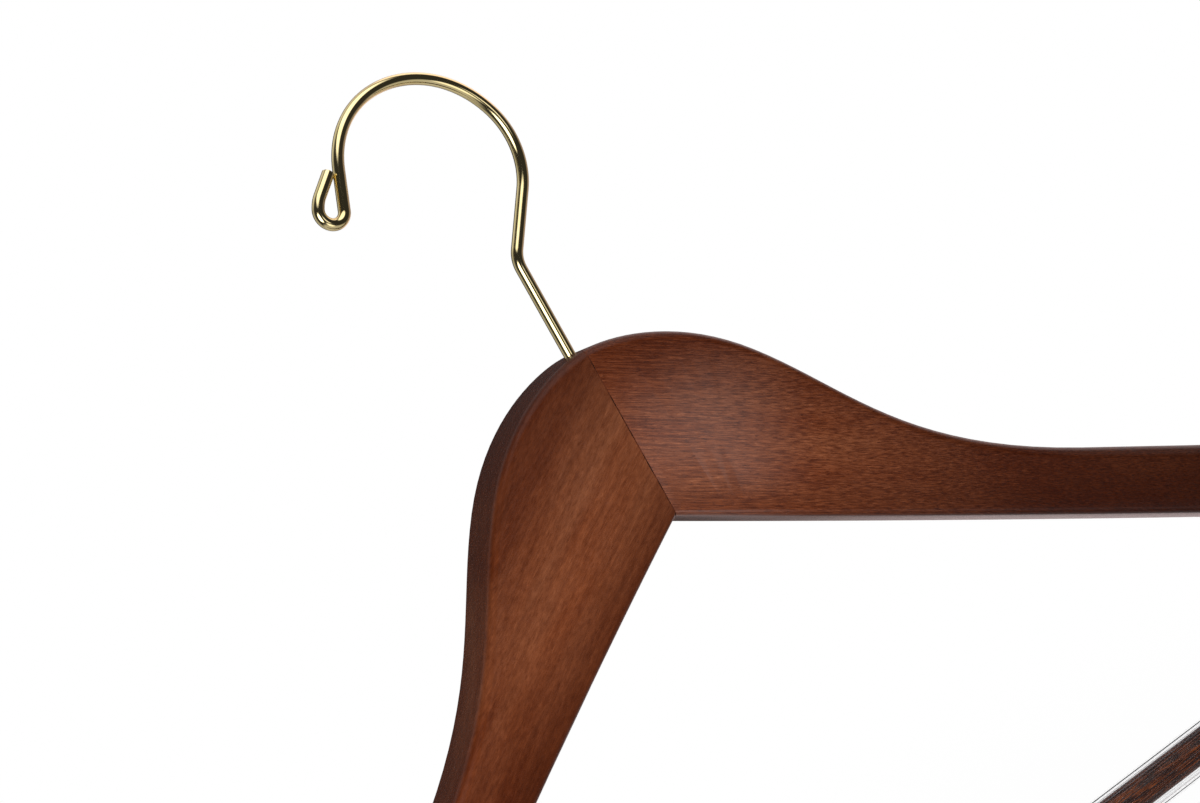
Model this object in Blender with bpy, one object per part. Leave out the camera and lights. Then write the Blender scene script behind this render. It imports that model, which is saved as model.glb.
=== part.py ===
"""Curved wooden suit hanger with a swivel wire hook and a sleeved trouser bar.

Two mitred wooden halves meet at an upright seam and bow forward to their tips.
Two glued dowels cross the seam below the hook. The hook's wire turns in a bore
split by the seam: its upset head hangs in a small chamber on a steel washer.
A round bar sits in blind sockets near the tips, held by one brad a side, and
a clear ribbed sleeve hangs loosely on it.

The frame: the origin is the inside top of the hook, where a rail bears.
+Z is up, X runs along the hanger and the wearer faces -Y.
Sizes in the wood are counted from the apex, the inner corner under the seam,
at mid-thickness, and the whole assembly is placed so that the hook's inside
top falls on the origin.
"""
import math

import bmesh
import bpy
from mathutils import Matrix, Vector

# Fits shared by every piece
GAP = 0.0003
CUT_OVERRUN = 0.0040

# Wooden halves, counted from the apex
HALF_SPAN = 0.2285
ARM_THICKNESS = 0.0213
BOW_RADIUS = 0.500
UNDERSIDE_SLOPE = math.radians(29.96)
CROWN_HEIGHT = 0.0484
CROWN_REACH = 0.0070
SHOULDER_OUT = 0.0418
SHOULDER_DROP = 0.0223
SHOULDER_SLOPE = math.radians(50.3)
SHOULDER_PULL_IN = 0.0247
SHOULDER_PULL_OUT = 0.0280
NARROW_OUT = 0.1092
NARROW_HEIGHT = 0.0209
NARROW_PULL = 0.0510
TIP_HEIGHT = 0.0229
DROOP_LENGTH = 0.0785
DROOP_RADIUS = 0.330
LEAN_LENGTH = 0.060
TIP_ROUND = 0.0088
EDGE_ROUND_UNDER = 0.0018
EDGE_ROUND_CROWN = 0.0026
EDGE_ROUND_TIP = 0.0045
EDGE_GROWS_FROM = 0.040
EDGE_GROWS_TO = 0.150

# Hook wire, bent in one plane from its head to its free end
WIRE_DIAMETER = 0.0032
HOOK_TURN = math.radians(12.0)
SHANK_DEPTH = 0.0205
SHANK_RISE = 0.0254
HEAD_DIAMETER = 0.0058
HEAD_HEIGHT = 0.0014
THROAT_TURN = math.radians(39.4)
THROAT_RADIUS = 0.0077
THROAT_LENGTH = 0.0167
BACK_TURN = math.radians(60.7)
BACK_RADIUS = 0.0218
BOW_TURN = math.radians(76.7)
BOW_WIRE_RADIUS = 0.0281
FRONT_TURN = math.radians(57.5)
FRONT_RADIUS = 0.0240
TAIL_LENGTH = 0.0106
EYE_TURN = math.radians(185.0)
EYE_RADIUS = 0.0035
RETURN_TURN = math.radians(22.2)
RETURN_RADIUS = 0.0094
END_LENGTH = 0.0066
WIRE_CHAMFER = 0.0003

# Washer that the head hangs on, and the chamber round them
WASHER_DIAMETER = 0.0076
WASHER_THICKNESS = 0.0008
CHAMBER_CLEARANCE = 0.0006

# Dowels across the seam
DOWEL_DIAMETER = 0.0060
DOWEL_LENGTH = 0.0240
DOWEL_CHAMFER = 0.0006
DOWEL_HEIGHT_SHARES = {"seam_dowel_lower": 0.26, "seam_dowel_upper": 0.68}

# Trouser bar, its sockets in the halves and its brads
BAR_DIAMETER = 0.0080
BAR_INSET = 0.0295
SOCKET_DEPTH = 0.0120
BAR_CHAMFER = 0.0006
BRAD_DIAMETER = 0.0014
BRAD_HEAD_DIAMETER = 0.0024
BRAD_HEAD_HEIGHT = 0.0006
BRAD_LENGTH = 0.0112
BRAD_SET = 0.0004

# Clear ribbed sleeve, which hangs loosely from the bar
SLEEVE_WALL = 0.0005
SLEEVE_SAG = 0.0005
SLEEVE_RIB_HEIGHT = 0.0006
SLEEVE_RIB_COUNT = 36
SLEEVE_RIB_FOOT_SHARE = 0.62
SLEEVE_RIB_TOP_SHARE = 0.26
SLEEVE_END_CLEARANCE = 0.0018

# Points of a turned shape closer than this are one point
WELD_DISTANCE = GAP / 30.0

# How finely round shapes are divided
CROWN_STEPS = 18
HOLLOW_STEPS = 20
STRAIGHT_STEPS = 18
TIP_STEPS = 7
EDGE_STEPS_UNDER = 4
EDGE_STEPS_TOP = 6
FACE_STEPS = 3
WIRE_STEP = math.radians(8.0)
WIRE_BEVEL = 4
ROUND_STEPS = 24
SMALL_ROUND_STEPS = 16
SHARP_ANGLE = math.radians(35.0)


# The line of the wood, seen from the front and from above

def smooth_share(value):
    """Rise from 0 to 1 with level ends."""
    value = min(max(value, 0.0), 1.0)
    return value * value * (3.0 - 2.0 * value)


def bow_forward(x):
    """How far forward the wood's middle lies at x."""
    return BOW_RADIUS - math.sqrt(BOW_RADIUS ** 2 - x ** 2)


def bow_angle(x):
    return math.asin(x / BOW_RADIUS)


def past_droop(x):
    """Distance beyond the place where the tips start to turn down."""
    return max(x - (HALF_SPAN - DROOP_LENGTH), 0.0)


def droop(x):
    return DROOP_RADIUS - math.sqrt(DROOP_RADIUS ** 2 - past_droop(x) ** 2)


def underside_z(x):
    return -x * math.tan(UNDERSIDE_SLOPE) - droop(x)


def underside_angle(x):
    """Angle of the underside below level at x."""
    bend = math.tan(math.asin(past_droop(x) / DROOP_RADIUS))
    return math.atan(math.tan(UNDERSIDE_SLOPE) + bend)


def height_growth():
    return (TIP_HEIGHT - NARROW_HEIGHT) / (HALF_SPAN - NARROW_OUT)


def bezier(ends, pulls, share):
    """Point at share of a cubic curve between two ends with two pull points."""
    rest = 1.0 - share
    return (ends[0] * rest ** 3 + pulls[0] * 3.0 * rest ** 2 * share
            + pulls[1] * 3.0 * rest * share ** 2 + ends[1] * share ** 3)


def top_line():
    """Top edge of one half from the seam to the start of its rounded tip, as (x, z)."""
    crown = Vector((0.0, CROWN_HEIGHT))
    shoulder = Vector((SHOULDER_OUT, CROWN_HEIGHT - SHOULDER_DROP))
    narrow = Vector((NARROW_OUT, NARROW_HEIGHT - NARROW_OUT * math.tan(UNDERSIDE_SLOPE)))
    fall = Vector((math.cos(SHOULDER_SLOPE), -math.sin(SHOULDER_SLOPE)))
    run = Vector((1.0, height_growth() - math.tan(UNDERSIDE_SLOPE))).normalized()
    crown_pulls = (crown + Vector((CROWN_REACH, 0.0)), shoulder - fall * SHOULDER_PULL_IN)
    hollow_pulls = (shoulder + fall * SHOULDER_PULL_OUT, narrow - run * NARROW_PULL)
    points = [bezier((crown, shoulder), crown_pulls, step / CROWN_STEPS)
              for step in range(CROWN_STEPS)]
    points += [bezier((shoulder, narrow), hollow_pulls, step / HOLLOW_STEPS)
               for step in range(HOLLOW_STEPS)]
    reach = tip_start_x() - NARROW_OUT
    for step in range(STRAIGHT_STEPS + 1):
        out = reach * step / STRAIGHT_STEPS
        points.append(narrow + Vector((out, out * run.y / run.x)))
    points[0].x = GAP / 2.0
    return [Vector((point.x, point.y - droop(point.x))) for point in points]


def tip_start_x():
    """Where the top edge ends and the rounded tip begins."""
    lean = math.sin(underside_angle(HALF_SPAN - TIP_ROUND))
    return HALF_SPAN - TIP_ROUND * (1.0 - lean)


def edge_round_top(x):
    grown = smooth_share((x - EDGE_GROWS_FROM) / (EDGE_GROWS_TO - EDGE_GROWS_FROM))
    return EDGE_ROUND_CROWN + (EDGE_ROUND_TIP - EDGE_ROUND_CROWN) * grown


def under_point(top):
    """Point of the underside that faces a point of the top edge squarely."""
    angle = underside_angle(top.x)
    height = top.y - underside_z(top.x)
    square = height * math.sin(angle) * math.cos(angle)
    x = top.x - square * smooth_share((top.x - GAP / 2.0) / LEAN_LENGTH)
    return Vector((x, underside_z(x)))


def rounded_section(half_height, half_thickness, top_round, under_round):
    """Rounded rectangle as (along the height, along the thickness)."""
    corners = ((1, 1, top_round, EDGE_STEPS_TOP), (-1, 1, under_round, EDGE_STEPS_UNDER),
               (-1, -1, under_round, EDGE_STEPS_UNDER), (1, -1, top_round, EDGE_STEPS_TOP))
    arcs = []
    for quarter, (up, back, radius, steps) in enumerate(corners):
        arcs.append([])
        for step in range(steps + 1):
            angle = math.pi / 2.0 * (quarter + step / steps)
            arcs[-1].append(Vector((up * (half_height - radius) + radius * math.cos(angle),
                                    back * (half_thickness - radius) + radius * math.sin(angle))))
    back_face = divide(arcs[0][-1], arcs[1][0])
    front_face = divide(arcs[2][-1], arcs[3][0])
    return arcs[0] + back_face + arcs[1] + arcs[2] + front_face + arcs[3]


def divide(start, finish):
    """Points that divide the flat of a face between two rounded edges."""
    return [start.lerp(finish, step / (FACE_STEPS + 1)) for step in range(1, FACE_STEPS + 1)]


def place_section(middle, rise, ring, side):
    """Stand a section on the bowed line of one half."""
    placed = []
    for along, across in ring:
        x = middle.x + rise.x * along
        z = middle.y + rise.y * along
        placed.append(Vector((side * x, across - bow_forward(x), z)))
    return placed


def half_sections(side):
    """Rings of one wooden half from the seam to the end of its tip."""
    rings = []
    for top in top_line():
        under = under_point(top)
        middle = (top + under) / 2.0
        half_height = (top - under).length / 2.0
        rise = (top - under).normalized()
        ring = rounded_section(half_height, ARM_THICKNESS / 2.0, edge_round_top(top.x), EDGE_ROUND_UNDER)
        rings.append(place_section(middle, rise, ring, side))
    onward = Vector((rise.y, -rise.x))
    for step in range(1, TIP_STEPS + 1):
        angle = math.pi / 2.0 * step / TIP_STEPS
        shrink = TIP_ROUND * (1.0 - math.cos(angle))
        left = min(half_height, ARM_THICKNESS / 2.0) - shrink
        share = left / min(half_height, ARM_THICKNESS / 2.0)
        ring = rounded_section(half_height - shrink, ARM_THICKNESS / 2.0 - shrink,
                               edge_round_top(HALF_SPAN) * share, EDGE_ROUND_UNDER * share)
        rings.append(place_section(middle + onward * TIP_ROUND * math.sin(angle), rise, ring, side))
    return rings


# Places worked out from the sizes above

def bar_entry_x():
    """Where the bar's axis meets the underside."""
    return HALF_SPAN - BAR_INSET


def bar_end_x():
    return bar_entry_x() + SOCKET_DEPTH - GAP


def brad_x():
    """The brad crosses the middle of the bar's seated end."""
    return bar_entry_x() + SOCKET_DEPTH / 2.0


def bar_axis():
    """The bar's axis as (y, z)."""
    return Vector((-bow_forward(brad_x()), underside_z(bar_entry_x())))


def sleeve_axis():
    """The sleeve's axis as (y, z): its bore's top rests over the bar."""
    return bar_axis() - Vector((0.0, SLEEVE_SAG))


def sleeve_radius():
    return BAR_DIAMETER / 2.0 + GAP + SLEEVE_SAG + SLEEVE_WALL


def sleeve_end_x():
    """The sleeve stops short of the slanted underside above it."""
    top = sleeve_axis().y + sleeve_radius() + SLEEVE_RIB_HEIGHT
    inside = bar_entry_x()
    while underside_z(inside) < top:
        inside -= GAP
    return inside - SLEEVE_END_CLEARANCE


def chamber_roof_z():
    return CROWN_HEIGHT - SHANK_DEPTH + HEAD_HEIGHT + WASHER_THICKNESS + 2.0 * GAP


def chamber_floor_z():
    return CROWN_HEIGHT - SHANK_DEPTH - CHAMBER_CLEARANCE


def dowel_z(name):
    """Dowels share the wood between the apex and the head's chamber."""
    return chamber_floor_z() * DOWEL_HEIGHT_SHARES[name]


# The hook's centre line, bent step by step like wire on a former

def wire_bends():
    """(turn, radius, straight run after it) from the shank to the free end."""
    return [(-THROAT_TURN, THROAT_RADIUS, THROAT_LENGTH), (BACK_TURN, BACK_RADIUS, 0.0),
            (BOW_TURN, BOW_WIRE_RADIUS, 0.0), (FRONT_TURN, FRONT_RADIUS, TAIL_LENGTH),
            (-EYE_TURN, EYE_RADIUS, 0.0), (-RETURN_TURN, RETURN_RADIUS, END_LENGTH)]


def wire_line():
    """Centre line of the wire as (u, z), u across the shank in the hook's plane."""
    heading = math.pi / 2.0
    points = [Vector((0.0, CROWN_HEIGHT + SHANK_RISE))]
    for turn, radius, run in wire_bends():
        side = math.copysign(1.0, turn)
        centre = points[-1] + radius * side * Vector((-math.sin(heading), math.cos(heading)))
        steps = math.ceil(abs(turn) / WIRE_STEP)
        for step in range(1, steps + 1):
            now = heading + turn * step / steps
            points.append(centre - radius * side * Vector((-math.sin(now), math.cos(now))))
        heading += turn
        if run > 0.0:
            points.append(points[-1] + run * Vector((math.cos(heading), math.sin(heading))))
    return points


def saddle():
    """Inside top of the hook as (u, z), where the rail bears."""
    top = max(wire_line(), key=lambda point: point.y)
    return Vector((top.x, top.y - WIRE_DIAMETER / 2.0))


# Materials

def material(name, colour, roughness, metallic=0.0, alpha=1.0):
    made = bpy.data.materials.new(name)
    made.use_nodes = True
    shader = made.node_tree.nodes["Principled BSDF"]
    shader.inputs["Base Color"].default_value = (*colour, 1.0)
    shader.inputs["Roughness"].default_value = roughness
    shader.inputs["Metallic"].default_value = metallic
    shader.inputs["Alpha"].default_value = alpha
    return made


def left_wood():
    return material("stained_wood_left", (0.155, 0.047, 0.020), 0.38)


def right_wood():
    return material("stained_wood_right", (0.145, 0.045, 0.021), 0.38)


def dowel_wood():
    return material("bare_beech", (0.60, 0.42, 0.25), 0.65)


def bar_wood():
    return material("dark_stained_dowel", (0.060, 0.020, 0.012), 0.45)


def brass_plate():
    return material("pale_brass_plated_wire", (0.80, 0.68, 0.42), 0.16, metallic=1.0)


def bright_steel():
    return material("bright_steel", (0.60, 0.60, 0.60), 0.30, metallic=1.0)


def clear_vinyl():
    return material("clear_vinyl", (0.90, 0.90, 0.92), 0.12, alpha=0.35)


# Making objects

def add_object(name, data, parent, finish):
    made = bpy.data.objects.new(name, data)
    bpy.context.scene.collection.objects.link(made)
    made.parent = parent
    if finish is not None:
        data.materials.append(finish)
    return made


def mesh_object(name, bm, parent, finish):
    bmesh.ops.recalc_face_normals(bm, faces=bm.faces[:])
    mesh = bpy.data.meshes.new(name)
    bm.to_mesh(mesh)
    bm.free()
    mesh.shade_smooth()
    mesh.set_sharp_from_angle(angle=SHARP_ANGLE)
    return add_object(name, mesh, parent, finish)


def loft(rings):
    """Closed body through rings of equal count."""
    bm = bmesh.new()
    rows = [[bm.verts.new(point) for point in ring] for ring in rings]
    bm.faces.new(rows[0])
    bm.faces.new(rows[-1])
    count = len(rows[0])
    for row, following in zip(rows, rows[1:]):
        for index in range(count):
            after = (index + 1) % count
            bm.faces.new((row[index], row[after], following[after], following[index]))
    return bm


def turned(profile, steps):
    """Body turned about +Z from a profile of (radius, height) that starts and ends on the axis."""
    bm = bmesh.new()
    points = [bm.verts.new((radius, 0.0, height)) for radius, height in profile]
    edges = [bm.edges.new(pair) for pair in zip(points, points[1:])]
    bmesh.ops.spin(bm, geom=points + edges, cent=(0.0, 0.0, 0.0), axis=(0.0, 0.0, 1.0),
                   angle=math.tau, steps=steps, use_merge=True)
    bmesh.ops.remove_doubles(bm, verts=bm.verts[:], dist=WELD_DISTANCE)
    return bm


def rod_profile(radius, length, chamfer):
    """Rod centred on the origin with chamfered ends."""
    end = length / 2.0
    return [(0.0, -end), (radius - chamfer, -end), (radius, chamfer - end),
            (radius, end - chamfer), (radius - chamfer, end), (0.0, end)]


def turn_along_x(made, place):
    made.rotation_euler = (0.0, math.pi / 2.0, 0.0)
    made.location = place


def cutter(name, bm, parent):
    made = mesh_object(name, bm, parent, None)
    made.hide_render = True
    made.display_type = "WIRE"
    return made


def cut(made, tools):
    for tool in tools:
        step = made.modifiers.new("cut_" + tool.name, "BOOLEAN")
        step.operation = "DIFFERENCE"
        step.solver = "EXACT"
        step.object = tool


# Cutters for the seats of hook, dowels, bar and brads

def hook_seat(parent):
    """Bore for the shank, opening into the chamber for its washer and head."""
    bore = WIRE_DIAMETER / 2.0 + GAP
    chamber = WASHER_DIAMETER / 2.0 + CHAMBER_CLEARANCE
    top = CROWN_HEIGHT + CUT_OVERRUN
    profile = [(0.0, chamber_floor_z()), (chamber, chamber_floor_z()), (chamber, chamber_roof_z()),
               (bore, chamber_roof_z()), (bore, top), (0.0, top)]
    return cutter("hook_seat", turned(profile, ROUND_STEPS), parent)


def dowel_hole(name, parent):
    radius = DOWEL_DIAMETER / 2.0 + GAP
    half = DOWEL_LENGTH / 2.0 + GAP
    made = cutter(name + "_hole", turned([(0.0, -half), (radius, -half), (radius, half), (0.0, half)],
                                         SMALL_ROUND_STEPS), parent)
    turn_along_x(made, (0.0, 0.0, dowel_z(name)))
    return made


def bar_socket(parent):
    """One long cutter that opens both sockets."""
    radius = BAR_DIAMETER / 2.0 + GAP
    half = bar_entry_x() + SOCKET_DEPTH
    made = cutter("bar_socket", turned([(0.0, -half), (radius, -half), (radius, half), (0.0, half)],
                                       ROUND_STEPS), parent)
    turn_along_x(made, (0.0, *bar_axis()))
    return made


def brad_matrix(side):
    """Stands a brad square to the bowed back face, its head's top at the local origin."""
    x = brad_x()
    angle = bow_angle(x)
    backward = Vector((side * math.sin(angle), math.cos(angle), 0.0))
    surface = Vector((side * x, -bow_forward(x), bar_axis().y)) + backward * back_depth(angle)
    turn = Vector((0.0, 0.0, 1.0)).rotation_difference(backward).to_matrix().to_4x4()
    return Matrix.Translation(surface - backward * BRAD_SET) @ turn


def back_depth(angle):
    """Distance from the wood's middle to its back face, square to the bow."""
    return ARM_THICKNESS / 2.0 * math.cos(angle)


def brad_hole(side, name, parent):
    """Hole for the brad with a sunk seat for its head."""
    shank = BRAD_DIAMETER / 2.0 + GAP
    head = BRAD_HEAD_DIAMETER / 2.0 + GAP
    seat = -BRAD_HEAD_HEIGHT - GAP
    end = -BRAD_LENGTH - GAP
    profile = [(0.0, end), (shank, end), (shank, seat), (head, seat), (head, CUT_OVERRUN), (0.0, CUT_OVERRUN)]
    made = cutter(name + "_hole", turned(profile, SMALL_ROUND_STEPS), parent)
    made.matrix_local = brad_matrix(side)
    return made


# The pieces

def wooden_half(name, side, finish, parent):
    return mesh_object(name, loft(half_sections(side)), parent, finish)


def seam_dowel(name, finish, parent):
    profile = rod_profile(DOWEL_DIAMETER / 2.0, DOWEL_LENGTH, DOWEL_CHAMFER)
    made = mesh_object(name, turned(profile, SMALL_ROUND_STEPS), parent, finish)
    turn_along_x(made, (0.0, 0.0, dowel_z(name)))
    return made


def trouser_bar(parent):
    profile = rod_profile(BAR_DIAMETER / 2.0, 2.0 * bar_end_x(), BAR_CHAMFER)
    made = mesh_object("trouser_bar", turned(profile, ROUND_STEPS), parent, bar_wood())
    turn_along_x(made, (0.0, *bar_axis()))
    return made


def bar_sleeve(parent):
    """Clear tube with lengthwise ribs, drawn out from its ribbed section."""
    half = sleeve_end_x()
    pitch = math.tau / SLEEVE_RIB_COUNT
    foot, crest = sleeve_radius(), sleeve_radius() + SLEEVE_RIB_HEIGHT
    outer, inner = [], []
    for rib in range(SLEEVE_RIB_COUNT):
        for share, radius in ((-SLEEVE_RIB_FOOT_SHARE, foot), (-SLEEVE_RIB_TOP_SHARE, crest),
                              (SLEEVE_RIB_TOP_SHARE, crest), (SLEEVE_RIB_FOOT_SHARE, foot)):
            angle = pitch * (rib + share / 2.0)
            outer.append((radius * math.cos(angle), radius * math.sin(angle)))
            inner.append(((foot - SLEEVE_WALL) * math.cos(angle), (foot - SLEEVE_WALL) * math.sin(angle)))
    bm = bmesh.new()
    rows = [[bm.verts.new((x, y, end)) for x, y in ring]
            for ring, end in ((outer, -half), (outer, half), (inner, half), (inner, -half))]
    count = len(outer)
    for row, following in zip(rows, rows[1:] + rows[:1]):
        for index in range(count):
            after = (index + 1) % count
            bm.faces.new((row[index], row[after], following[after], following[index]))
    made = mesh_object("bar_sleeve", bm, parent, clear_vinyl())
    turn_along_x(made, (0.0, *sleeve_axis()))
    return made


def bar_brad(name, side, finish, parent):
    shank, head = BRAD_DIAMETER / 2.0, BRAD_HEAD_DIAMETER / 2.0
    profile = [(0.0, -BRAD_LENGTH), (shank, BRAD_DIAMETER - BRAD_LENGTH), (shank, -BRAD_HEAD_HEIGHT),
               (head, -BRAD_HEAD_HEIGHT), (head, 0.0), (0.0, 0.0)]
    made = mesh_object(name, turned(profile, SMALL_ROUND_STEPS), parent, finish)
    made.matrix_local = brad_matrix(side)
    return made


def hook(finish, parent):
    """Bent wire with an upset head, standing in its own plane on the shank's axis."""
    foot = CROWN_HEIGHT - SHANK_DEPTH
    swell = HEAD_DIAMETER / WIRE_DIAMETER
    worn = 1.0 - WIRE_CHAMFER / (WIRE_DIAMETER / 2.0)
    line = [(Vector((0.0, foot)), swell - (1.0 - worn)), (Vector((0.0, foot + WIRE_CHAMFER)), swell),
            (Vector((0.0, foot + HEAD_HEIGHT - WIRE_CHAMFER)), swell),
            (Vector((0.0, foot + HEAD_HEIGHT)), 1.0)]
    bent = wire_line()
    line += [(point, 1.0) for point in bent]
    last = (bent[-1] - bent[-2]).normalized()
    line.append((bent[-1] + last * WIRE_CHAMFER, worn))
    curve = bpy.data.curves.new("hook", "CURVE")
    curve.dimensions = "3D"
    curve.twist_mode = "MINIMUM"
    curve.bevel_depth = WIRE_DIAMETER / 2.0
    curve.bevel_resolution = WIRE_BEVEL
    curve.use_fill_caps = True
    spline = curve.splines.new("POLY")
    spline.points.add(len(line) - 1)
    for knot, (place, width) in zip(spline.points, line):
        knot.co = (place.x, 0.0, place.y, 1.0)
        knot.radius = width
    spline.use_smooth = True
    made = add_object("hook", curve, parent, finish)
    made.rotation_euler = (0.0, 0.0, HOOK_TURN)
    return made


def hook_washer(finish, parent):
    inner, outer = WIRE_DIAMETER / 2.0 + GAP, WASHER_DIAMETER / 2.0
    low = CROWN_HEIGHT - SHANK_DEPTH + HEAD_HEIGHT + GAP
    high = low + WASHER_THICKNESS
    profile = [(inner, low), (outer, low), (outer, high), (inner, high), (inner, low)]
    return mesh_object("hook_washer", turned(profile, ROUND_STEPS), parent, finish)


def empty(name, place):
    made = bpy.data.objects.new(name, None)
    bpy.context.scene.collection.objects.link(made)
    made.location = place
    return made


def build():
    for old in list(bpy.data.objects):
        bpy.data.objects.remove(old, do_unlink=True)
    top = saddle()
    apex = (-top.x * math.cos(HOOK_TURN), -top.x * math.sin(HOOK_TURN), -top.y)
    fixed = empty("hook_body", apex)
    swivel = empty("hanger_swivel_axis", apex)
    steel = bright_steel()
    hook(brass_plate(), fixed)
    hook_washer(steel, fixed)
    seat = hook_seat(swivel)
    holes = [dowel_hole(name, swivel) for name in DOWEL_HEIGHT_SHARES]
    socket = bar_socket(swivel)
    bar = trouser_bar(swivel)
    beech = dowel_wood()
    for name in DOWEL_HEIGHT_SHARES:
        seam_dowel(name, beech, swivel)
    for side, word, finish in ((-1.0, "left", left_wood()), (1.0, "right", right_wood())):
        half = wooden_half(word + "_arm", side, finish, swivel)
        hole = brad_hole(side, "bar_brad_" + word, swivel)
        cut(half, [seat, *holes, socket, hole])
        cut(bar, [hole])
        bar_brad("bar_brad_" + word, side, steel, swivel)
    bar_sleeve(swivel)


build()
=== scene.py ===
"""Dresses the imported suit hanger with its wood, wire, bar and sleeve, and sets a photo stage.

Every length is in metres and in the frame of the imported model: the origin is the inside
top of the hook, +Z is up, X runs along the hanger and the wearer faces -Y.
"""
import math

import bmesh
import bpy
from mathutils import Matrix, Vector


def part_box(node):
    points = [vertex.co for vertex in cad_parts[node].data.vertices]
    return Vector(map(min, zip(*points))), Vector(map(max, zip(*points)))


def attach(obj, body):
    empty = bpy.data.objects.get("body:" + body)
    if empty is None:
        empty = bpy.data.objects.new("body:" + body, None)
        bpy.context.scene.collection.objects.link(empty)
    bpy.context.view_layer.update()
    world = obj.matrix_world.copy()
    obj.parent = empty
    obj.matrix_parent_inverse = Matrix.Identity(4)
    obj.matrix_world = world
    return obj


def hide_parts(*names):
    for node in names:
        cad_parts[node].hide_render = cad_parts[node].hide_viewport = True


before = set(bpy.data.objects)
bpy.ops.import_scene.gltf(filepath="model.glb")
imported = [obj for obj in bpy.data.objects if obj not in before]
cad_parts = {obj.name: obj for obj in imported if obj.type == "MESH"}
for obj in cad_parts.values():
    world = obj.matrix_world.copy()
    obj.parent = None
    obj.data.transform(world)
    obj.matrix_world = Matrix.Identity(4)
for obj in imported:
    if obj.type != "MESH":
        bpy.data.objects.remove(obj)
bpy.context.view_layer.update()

bl_info = {
    "name": "Suit hanger",
    "version": (1, 0, 0),
    "blender": (4, 5, 0),
    "location": "3D View > Sidebar > Suit hanger",
    "description": "Dresses a curved wooden suit hanger and sets its photo stage",
    "category": "Object",
}

MM = 0.001
SIDES = ("left", "right")

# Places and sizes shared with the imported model: the lower end of the seam, the gap that parts its two
# faces, half the arms' thickness, how steeply their undersides fall, and the middle of the sleeve
APEX = Vector((0.0102971, 0.0021887, -0.1296403))
FIT_GAP = 0.3 * MM
HALF_THICKNESS = 10.65 * MM
WOOD_SLOPE = math.radians(29.96)
SLEEVE_AXIS = Vector((0.0102971, -0.0417685, -0.2485059))

# The film of glue in the seam: how deep in the left arm its outline is cut, how thick it is, and how
# far it stays under the wood's surface
FILM_CUT_DEPTH = 0.01 * MM
FILM_THICKNESS = 0.296 * MM
FILM_RECESS = 0.05 * MM

# The hook's wire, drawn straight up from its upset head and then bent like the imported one, with heights
# above the apex. Each bend is its turn, its radius and the straight run after it.
HOOK_TURN = math.radians(12.0)
HOOK_FOOT = 27.9 * MM
HEAD_RADIUS = 2.9 * MM
HEAD_HEIGHT = 1.4 * MM
BEND_START = 73.8 * MM
WIRE_CHAMFER = 0.3 * MM
WIRE_BENDS = (
    (math.radians(-39.4), 7.7 * MM, 16.7 * MM),
    (math.radians(60.7), 21.8 * MM, 0.0),
    (math.radians(76.7), 28.1 * MM, 0.0),
    (math.radians(57.5), 24.0 * MM, 10.6 * MM),
    (math.radians(-185.0), 3.5 * MM, 0.0),
    (math.radians(-22.2), 9.4 * MM, 6.6 * MM),
)
WIRE_SIDES = 40
BEND_STEP = math.radians(3.0)

# What tells the edges along the sleeve's ribs: they lie outside its wall, run far and turn a corner
WALL_OUTSIDE = 5.05 * MM
RIB_RUN = 100.0 * MM
RIB_TURN = math.radians(8.0)

# How CAD solids are welded and shaded
WELD = 0.001 * MM
FLAT_ANGLE = math.radians(0.3)
SHARP_ANGLE = math.radians(35.0)

# The photo's camera: its place, its right, up and backward directions, and its lens and sensor in mm
CAMERA_PLACE = Vector((-0.196393, -0.523831, -0.055380))
CAMERA_RIGHT = Vector((0.79850, -0.35242, -0.48805))
CAMERA_UP = Vector((0.47768, -0.12245, 0.86996))
CAMERA_BACK = Vector((-0.36635, -0.92780, 0.07056))
CAMERA_LENS = 66.0
CAMERA_SENSOR = 36.0

# Where the key lamp stands, what it faces and how wide it is
KEY_PLACE = Vector((-0.42, -1.02, -0.02))
KEY_TARGET = Vector((-0.15, -0.02, -0.20))
KEY_RADIUS = 0.12

# How far the floor reaches to each side, and where the hanger's shadow on it starts to fade and is gone
FLOOR_HALF = 6.0
SHADOW_FULL = 0.5
SHADOW_GONE = 2.2

# Sockets of Blender's Mix node for colours
MIX_SHARE, MIX_FIRST, MIX_SECOND, MIX_RESULT = 0, 6, 7, 2


# Colours and nodes

def linear(code):
    """Linear colour of an sRGB hex value such as #7B4A35."""
    parts = [int(code[start:start + 2], 16) / 255.0 for start in (1, 3, 5)]
    return (*(part / 12.92 if part <= 0.04045 else ((part + 0.055) / 1.055) ** 2.4 for part in parts), 1.0)


def linear_of(colour):
    """Four-part colour of a property's three parts."""
    return (*colour, 1.0)


def add(tree, kind, links=None, **settings):
    """Adds one node with its settings and its inputs, each a value or another node's socket."""
    node = tree.nodes.new(kind)
    for name, value in settings.items():
        setattr(node, name, value)
    for name, source in (links or {}).items():
        if isinstance(source, bpy.types.NodeSocket):
            tree.links.new(source, node.inputs[name])
        else:
            node.inputs[name].default_value = source
    return node


def new_finish(name, **sockets):
    """New material with constants set on its Principled shader."""
    made = bpy.data.materials.new(name)
    made.use_nodes = True
    shader = made.node_tree.nodes["Principled BSDF"]
    for socket, value in sockets.items():
        shader.inputs[socket.replace("_", " ")].default_value = value
    return made, made.node_tree, shader


# Meshes

def merged_copy(node):
    """Copy of a CAD solid, welded, with its flat faces made whole."""
    bm = bmesh.new()
    bm.from_mesh(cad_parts[node].data)
    bmesh.ops.remove_doubles(bm, verts=bm.verts[:], dist=WELD)
    bmesh.ops.dissolve_limit(bm, angle_limit=FLAT_ANGLE, verts=bm.verts[:], edges=bm.edges[:])
    return bm


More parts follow.
